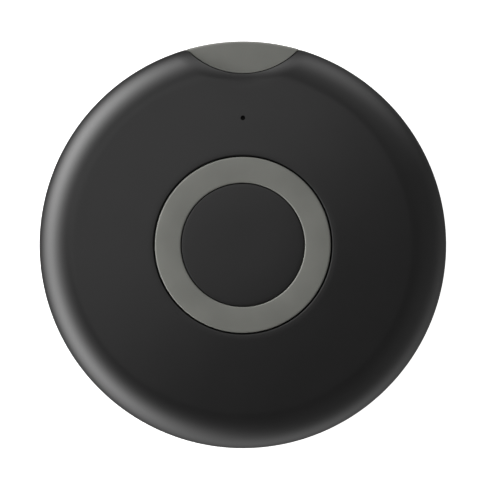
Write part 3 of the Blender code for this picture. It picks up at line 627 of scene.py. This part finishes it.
def battery_door():
    """The door with rounded edges, a coin slot with rounded ends, and its three lugs."""
    profile = [
        (0.0, DOOR_PLATE_Z),
        (DOOR_CUP_INNER, DOOR_PLATE_Z),
        (DOOR_CUP_INNER, DOOR_CUP_TOP_Z),
        (DOOR_CUP_RADIUS, DOOR_CUP_TOP_Z),
        (DOOR_CUP_RADIUS, DOOR_PLATE_Z),
        (DOOR_RADIUS, DOOR_PLATE_Z),
        (DOOR_RADIUS, SEAL_GROOVE_Z[1]),
        (SEAL_GROOVE_RADIUS, SEAL_GROOVE_Z[1]),
        (SEAL_GROOVE_RADIUS, SEAL_GROOVE_Z[0]),
        (DOOR_RADIUS, SEAL_GROOVE_Z[0]),
        (DOOR_RADIUS, DOOR_LOW_Z),
        (0.0, DOOR_LOW_Z),
    ]
    door = add_object("door_disc", turned_mesh("door_disc", rounded(profile, DOOR_ROUND)))
    lugs = []
    for i, degrees in enumerate(LUG_ANGLES, 1):
        start_z = LUG_Z - DOOR_LEAD * LUG_SPAN / 2 / 360.0
        start = degrees - LUG_SPAN / 2
        section = (DOOR_CUP_RADIUS - LUG_ROOT, LUG_RADIUS, LUG_HEIGHT)
        lug = helper(f"lug_{i}", helix_mesh(f"lug_{i}", *section, start, LUG_SPAN, start_z))
        boolean(door, lug, "UNION")
        lugs.append(lug)
    half_length, half_width = COIN_SLOT_LENGTH / 2, COIN_SLOT_WIDTH / 2
    slot_low = (-half_length, -half_width, BELOW)
    slot_high = (half_length, half_width, DOOR_LOW_Z + COIN_SLOT_DEPTH)
    slot = helper("coin_slot", box_mesh("coin_slot", slot_low, slot_high, bevel=half_width * COIN_SLOT_END))
    boolean(door, slot, "DIFFERENCE")
    settle(door, lugs + [slot])
    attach(door, "door")
    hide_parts("battery_door")
    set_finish(door, "case_black")
    return door


def door_seal():
    first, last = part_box("door_seal")
    section_radius = (last.z - first.z) / 2
    centre = (last.x - section_radius, (first.z + last.z) / 2)
    circle = arc(centre, (section_radius,) * 2, 90, -270, 30)[:-1]
    seal = settle(add_object("door_o_ring", turned_mesh("door_o_ring", circle, closed=True)))
    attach(seal, "cell_carrier")
    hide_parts("door_seal")
    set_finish(seal, "seal_rubber")
    return seal


# --- Find button -------------------------------------------------------------------------------


def find_button():
    """The cap: a shallow thumb dish, a seat for the ring, a retaining lip and the switch post."""
    cap_edge = RING_INNER - RING_GAP
    dish_radius = cap_edge - BUTTON_RIM
    dish = []
    for i in range(DISH_STEPS):
        radius = dish_radius * i / DISH_STEPS
        depth = BUTTON_DISH * math.cos(math.pi / 2 * i / DISH_STEPS) ** 2
        dish.append((radius, face_z(radius) - depth))
    profile = [
        (dish_radius, face_z(dish_radius)),
        (cap_edge, face_z(cap_edge)),
        (cap_edge, RING_SEAT_Z),
        (BUTTON_RADIUS, RING_SEAT_Z),
        (BUTTON_RADIUS, LIP_TOP_Z),
        (LIP_RADIUS, LIP_TOP_Z),
        (LIP_RADIUS, BUTTON_LOW_Z),
        (BUTTON_INSIDE, BUTTON_LOW_Z),
        (BUTTON_INSIDE, BUTTON_UNDER_Z),
        (POST_RADIUS, BUTTON_UNDER_Z),
        (POST_RADIUS, POST_LOW_Z),
        (0.0, POST_LOW_Z),
    ]
    mesh = turned_mesh("button_cap", dish + rounded(profile, BUTTON_ROUND))
    cap = settle(add_object("button_cap", mesh))
    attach(cap, "button")
    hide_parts("find_button")
    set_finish(cap, "case_black")
    return cap


def button_ring():
    """The grey inlay, whose top follows the face's crown. Its profile starts and ends under its middle."""
    middle = (RING_INNER + BUTTON_RADIUS) / 2
    corners = [
        (middle, RING_LOW_Z),
        (RING_INNER, RING_LOW_Z),
        (RING_INNER, face_z(RING_INNER) + RING_PROUD),
        (middle, face_z(middle) + RING_PROUD),
        (BUTTON_RADIUS, face_z(BUTTON_RADIUS) + RING_PROUD),
        (BUTTON_RADIUS, RING_LOW_Z),
        (middle, RING_LOW_Z),
    ]
    profile = rounded(corners, RING_ROUND)[:-1]
    ring = settle(add_object("button_inlay", turned_mesh("button_inlay", profile, closed=True)))
    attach(ring, "button")
    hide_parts("button_ring")
    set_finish(ring, "soft_grey")
    return ring


# --- Switch ------------------------------------------------------------------------------------


def snap_dome():
    """The curved contact under the plunger, built in one fixed shape; on the real switch it flattens as the
    button goes down.
    """
    first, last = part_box("switch_dome")
    rise = last.z - first.z - DOME_GAUGE
    outer = arc((0.0, first.z + DOME_GAUGE), (last.x, rise), 90, 0, DOME_STEPS)
    inner = arc((0.0, first.z), (last.x, rise), 0, 90, DOME_STEPS)
    dome = settle(add_object("snap_dome", turned_mesh("snap_dome", outer + inner, steps=96)))
    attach(dome, "housing")
    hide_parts("switch_dome")
    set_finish(dome, "contact_gold")
    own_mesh(dome)
    return dome


# --- Materials ---------------------------------------------------------------------------------


class Look:
    """A node material under construction: one shader and the textures that feed it."""

    def __init__(self, name):
        self.material = bpy.data.materials.new(name)
        self.material.use_nodes = True
        self.tree = self.material.node_tree
        self.shader = self.tree.nodes["Principled BSDF"]
        self.place = self.tree.nodes.new("ShaderNodeTexCoord").outputs["Object"]

    def node(self, kind, **settings):
        made = self.tree.nodes.new(kind)
        for name, value in settings.items():
            setattr(made, name, value)
        return made

    def link(self, output, target):
        self.tree.links.new(output, target)

    def noise(self, scale, detail=2.0, stretch=(1.0, 1.0, 1.0)):
        """Noise whose features are about 1 / scale metres across."""
        mapping = self.node("ShaderNodeMapping")
        mapping.inputs["Scale"].default_value = stretch
        self.link(self.place, mapping.inputs["Vector"])
        made = self.node("ShaderNodeTexNoise")
        made.inputs["Scale"].default_value = scale
        made.inputs["Detail"].default_value = detail
        self.link(mapping.outputs["Vector"], made.inputs["Vector"])
        return made.outputs["Fac"]

    def colour(self, factor, dark, light):
        ramp = self.node("ShaderNodeValToRGB")
        ramp.color_ramp.elements[0].position = 0.35
        ramp.color_ramp.elements[1].position = 0.65
        ramp.color_ramp.elements[0].color = (*dark, 1.0)
        ramp.color_ramp.elements[1].color = (*light, 1.0)
        self.link(factor, ramp.inputs["Fac"])
        self.link(ramp.outputs["Color"], self.shader.inputs["Base Color"])

    def roughness(self, factor, smooth, rough):
        spread = self.node("ShaderNodeMapRange")
        spread.inputs["To Min"].default_value = smooth
        spread.inputs["To Max"].default_value = rough
        self.link(factor, spread.inputs["Value"])
        self.link(spread.outputs["Result"], self.shader.inputs["Roughness"])

    def bump(self, height, depth, strength=1.0):
        bump = self.node("ShaderNodeBump")
        bump.inputs["Distance"].default_value = depth
        bump.inputs["Strength"].default_value = strength
        self.link(height, bump.inputs["Height"])
        self.link(bump.outputs["Normal"], self.shader.inputs["Normal"])

    def set(self, **values):
        for name, value in values.items():
            self.shader.inputs[name.replace("_", " ")].default_value = value


def plastic(name, colour, roughness, grain=0.0015 * MM, spread=0.06, ior=1.5):
    """Moulded plastic: a faint spark-eroded grain, and colour and gloss that vary a little."""
    look = Look(name)
    broad = look.noise(scale=260.0, detail=3.0)
    fine = look.noise(scale=11000.0)
    dark = tuple(c * (1.0 - spread) for c in colour)
    light = tuple(c * (1.0 + spread) for c in colour)
    look.colour(broad, dark, light)
    look.roughness(fine, roughness - 0.04, roughness + 0.04)
    look.bump(fine, grain)
    look.set(IOR=ior)
    return look.material


def metal(name, colour, roughness, stretch=(1.0, 1.0, 1.0)):
    look = Look(name)
    streaks = look.noise(scale=9000.0, detail=4.0, stretch=stretch)
    dark = tuple(c * 0.88 for c in colour)
    look.colour(streaks, dark, colour)
    look.roughness(streaks, roughness - 0.08, roughness + 0.08)
    look.bump(streaks, 0.001 * MM)
    look.set(Metallic=1.0)
    return look.material


def ceramic(name, colour, roughness):
    look = Look(name)
    specks = look.noise(scale=16000.0, detail=1.0)
    look.colour(specks, tuple(c * 0.8 for c in colour), colour)
    look.roughness(specks, roughness - 0.05, roughness + 0.1)
    look.bump(specks, 0.002 * MM)
    return look.material


def board_mask(name):
    """Green solder mask with the faint relief of the tracks under it."""
    look = Look(name)
    tracks = look.node("ShaderNodeTexVoronoi", feature="DISTANCE_TO_EDGE", distance="MANHATTAN")
    tracks.inputs["Scale"].default_value = 900.0
    look.link(look.place, tracks.inputs["Vector"])
    look.colour(tracks.outputs["Distance"], (0.02, 0.14, 0.07), (0.008, 0.07, 0.035))
    look.roughness(look.noise(scale=4000.0), smooth=0.25, rough=0.4)
    look.bump(tracks.outputs["Distance"], 0.01 * MM)
    return look.material


def woven(name, colour):
    """Fine square mesh."""
    look = Look(name)
    threads = look.node("ShaderNodeTexChecker")
    threads.inputs["Scale"].default_value = 16000.0
    look.link(look.place, threads.inputs["Vector"])
    look.colour(threads.outputs["Fac"], tuple(c * 0.4 for c in colour), colour)
    look.bump(threads.outputs["Fac"], 0.01 * MM)
    look.set(Roughness=0.85)
    return look.material


def slot_materials():
    """One finished material for each material slot of the record."""
    return {
        "case_black": plastic("satin_black_plastic", (0.009, 0.0088, 0.0089), 0.32),
        "soft_grey": plastic("smooth_grey_plastic", (0.156, 0.158, 0.143), 0.48, grain=0.0008 * MM),
        "frame_black": plastic("frame_plastic", (0.03, 0.03, 0.032), 0.6),
        "seal_rubber": plastic("silicone_rubber", (0.014, 0.014, 0.015), 0.62),
        "steel": metal("turned_steel", (0.6, 0.6, 0.59), 0.3, stretch=(1.0, 12.0, 12.0)),
        "cell_steel": metal("nickel_plate", (0.66, 0.65, 0.62), 0.22),
        "cell_nylon": plastic("cell_nylon", (0.06, 0.06, 0.065), 0.5),
        "cell_powder": ceramic("pressed_powder", (0.035, 0.035, 0.035), 0.85),
        "separator_paper": ceramic("separator_fibre", (0.8, 0.8, 0.77), 0.85),
        "contact_gold": metal("gold_plate", (0.9, 0.66, 0.3), 0.24),
        "board_laminate": board_mask("solder_mask"),
        "chip_black": ceramic("moulded_epoxy", (0.025, 0.025, 0.028), 0.5),
        "white_ceramic": ceramic("fired_white", (0.8, 0.79, 0.75), 0.35),
        "tan_ceramic": ceramic("fired_tan", (0.46, 0.3, 0.17), 0.4),
        "magnet": metal("bonded_magnet", (0.3, 0.3, 0.31), 0.5),
        "copper": metal("copper_winding", (0.8, 0.36, 0.18), 0.3, stretch=(1.0, 1.0, 14.0)),
        "mesh_cloth": woven("acoustic_mesh", (0.05, 0.05, 0.05)),
    }


def paint(pieces):
    """Gives every new piece and every CAD node the material of its slot."""
    materials = slot_materials()
    slots = {part["node"]: part["material_slot"] for part in frame["record"]["subparts"]}
    for node, obj in frame["nodes"].items():
        obj.data.materials.clear()
        obj.data.materials.append(materials[slots[node]])
    for piece in pieces:
        piece.data.materials.clear()
        piece.data.materials.append(materials[piece["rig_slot"]])


# --- Studio ------------------------------------------------------------------------------------


def maths(tree, operation, *values):
    """The output of a maths node whose inputs are numbers or other nodes' outputs."""
    made = tree.nodes.new("ShaderNodeMath")
    made.operation = operation
    for socket, value in zip(made.inputs, values):
        if isinstance(value, float):
            socket.default_value = value
        else:
            tree.links.new(value, socket)
    return made.outputs["Value"]


def soft_lights(tree):
    """The sum of the soft lights in the direction that is looked in."""
    direction = tree.nodes.new("ShaderNodeTexCoord").outputs["Generated"]
    split = tree.nodes.new("ShaderNodeSeparateXYZ")
    tree.links.new(direction, split.inputs["Vector"])
    round_angle = maths(tree, "ARCTAN2", split.outputs["Y"], split.outputs["X"])
    height_angle = maths(tree, "ARCSINE", split.outputs["Z"])
    total = None
    for middle, height, width, depth, strength in SOFT_LIGHTS.values():
        off = maths(tree, "SUBTRACT", round_angle, math.radians(middle))
        off = maths(tree, "WRAP", off, math.pi, -math.pi)
        off = maths(tree, "DIVIDE", off, math.radians(width))
        above = maths(tree, "SUBTRACT", height_angle, math.radians(height))
        above = maths(tree, "DIVIDE", above, math.radians(depth))
        square = maths(tree, "MULTIPLY", off, off)
        square = maths(tree, "ADD", square, maths(tree, "MULTIPLY", above, above))
        glow = maths(tree, "EXPONENT", maths(tree, "MULTIPLY", square, -1.0))
        glow = maths(tree, "MULTIPLY", glow, strength)
        total = glow if total is None else maths(tree, "ADD", total, glow)
    return total


def face_panel():
    data = bpy.data.lights.new("face_panel", "AREA")
    data.shape = "RECTANGLE"
    data.size, data.size_y = PANEL_SIZE
    data.energy = PANEL_RADIANCE * math.pi * data.size * data.size_y
    light = bpy.data.objects.new("face_panel", data)
    bpy.context.scene.collection.objects.link(light)
    away = PANEL_SIZE[0] / 2 - PANEL_OVERLAP
    bearing = math.radians(PANEL_BEARING)
    light.location = (away * math.cos(bearing), away * math.sin(bearing), PANEL_HEIGHT)
    light.rotation_euler.z = bearing
    light.visible_camera = False


def floor_material():
    """Plain and pale from above, and clear from below, so that the underside can be looked at too."""
    look = bpy.data.materials.new("pale_floor")
    look.use_nodes = True
    tree = look.node_tree
    shader = tree.nodes["Principled BSDF"]
    shader.inputs["Base Color"].default_value = (0.9, 0.9, 0.9, 1.0)
    shader.inputs["Roughness"].default_value = 0.9
    shader.inputs["Specular IOR Level"].default_value = 0.0
    shader.inputs["Emission Color"].default_value = (1.0, 1.0, 1.0, 1.0)
    shader.inputs["Emission Strength"].default_value = 0.95
    mix = tree.nodes.new("ShaderNodeMixShader")
    clear = tree.nodes.new("ShaderNodeBsdfTransparent")
    side = tree.nodes.new("ShaderNodeNewGeometry")
    tree.links.new(side.outputs["Backfacing"], mix.inputs["Fac"])
    tree.links.new(shader.outputs["BSDF"], mix.inputs[1])
    tree.links.new(clear.outputs["BSDF"], mix.inputs[2])
    tree.links.new(mix.outputs["Shader"], tree.nodes["Material Output"].inputs["Surface"])
    return look


def studio():
    mesh = bpy.data.meshes.new("floor")
    corners = [(-1.0, -1.0), (1.0, -1.0), (1.0, 1.0), (-1.0, 1.0)]
    mesh.from_pydata([(x * FLOOR_REACH, y * FLOOR_REACH, FLOOR_Z) for x, y in corners], [], [(0, 1, 2, 3)])
    floor = add_object("floor", mesh)
    floor.data.materials.append(floor_material())
    floor.visible_glossy = False
    world = bpy.data.worlds.new("studio")
    world.use_nodes = True
    background = world.node_tree.nodes["Background"]
    background.inputs["Color"].default_value = (1.0, 1.0, 1.0, 1.0)
    tree = world.node_tree
    seen_directly = tree.nodes.new("ShaderNodeLightPath").outputs["Is Camera Ray"]
    strength = maths(tree, "MAXIMUM", soft_lights(tree), seen_directly)
    tree.links.new(strength, background.inputs["Strength"])
    bpy.context.scene.world = world
    face_panel()


def camera():
    """Straight above the face and far away, so that the rim is seen almost without perspective."""
    distance = VIEW_WIDTH * CAMERA_LENS / CAMERA_SENSOR
    data = bpy.data.cameras.new("camera")
    data.lens = CAMERA_LENS
    data.sensor_width = CAMERA_SENSOR
    data.clip_start = 0.01
    data.clip_end = 10.0
    made = bpy.data.objects.new("camera", data)
    bpy.context.scene.collection.objects.link(made)
    made.location = (*CAMERA_OFFSET, BELT_Z + distance)
    bpy.context.scene.camera = made
    bpy.context.scene.view_settings.view_transform = "Standard"


def main():
    pieces = [
        front_cover(),
        rear_cover(),
        strap_bar(),
        battery_door(),
        door_seal(),
        find_button(),
        button_ring(),
        snap_dome(),
    ]
    paint(pieces)
    studio()
    camera()


main()
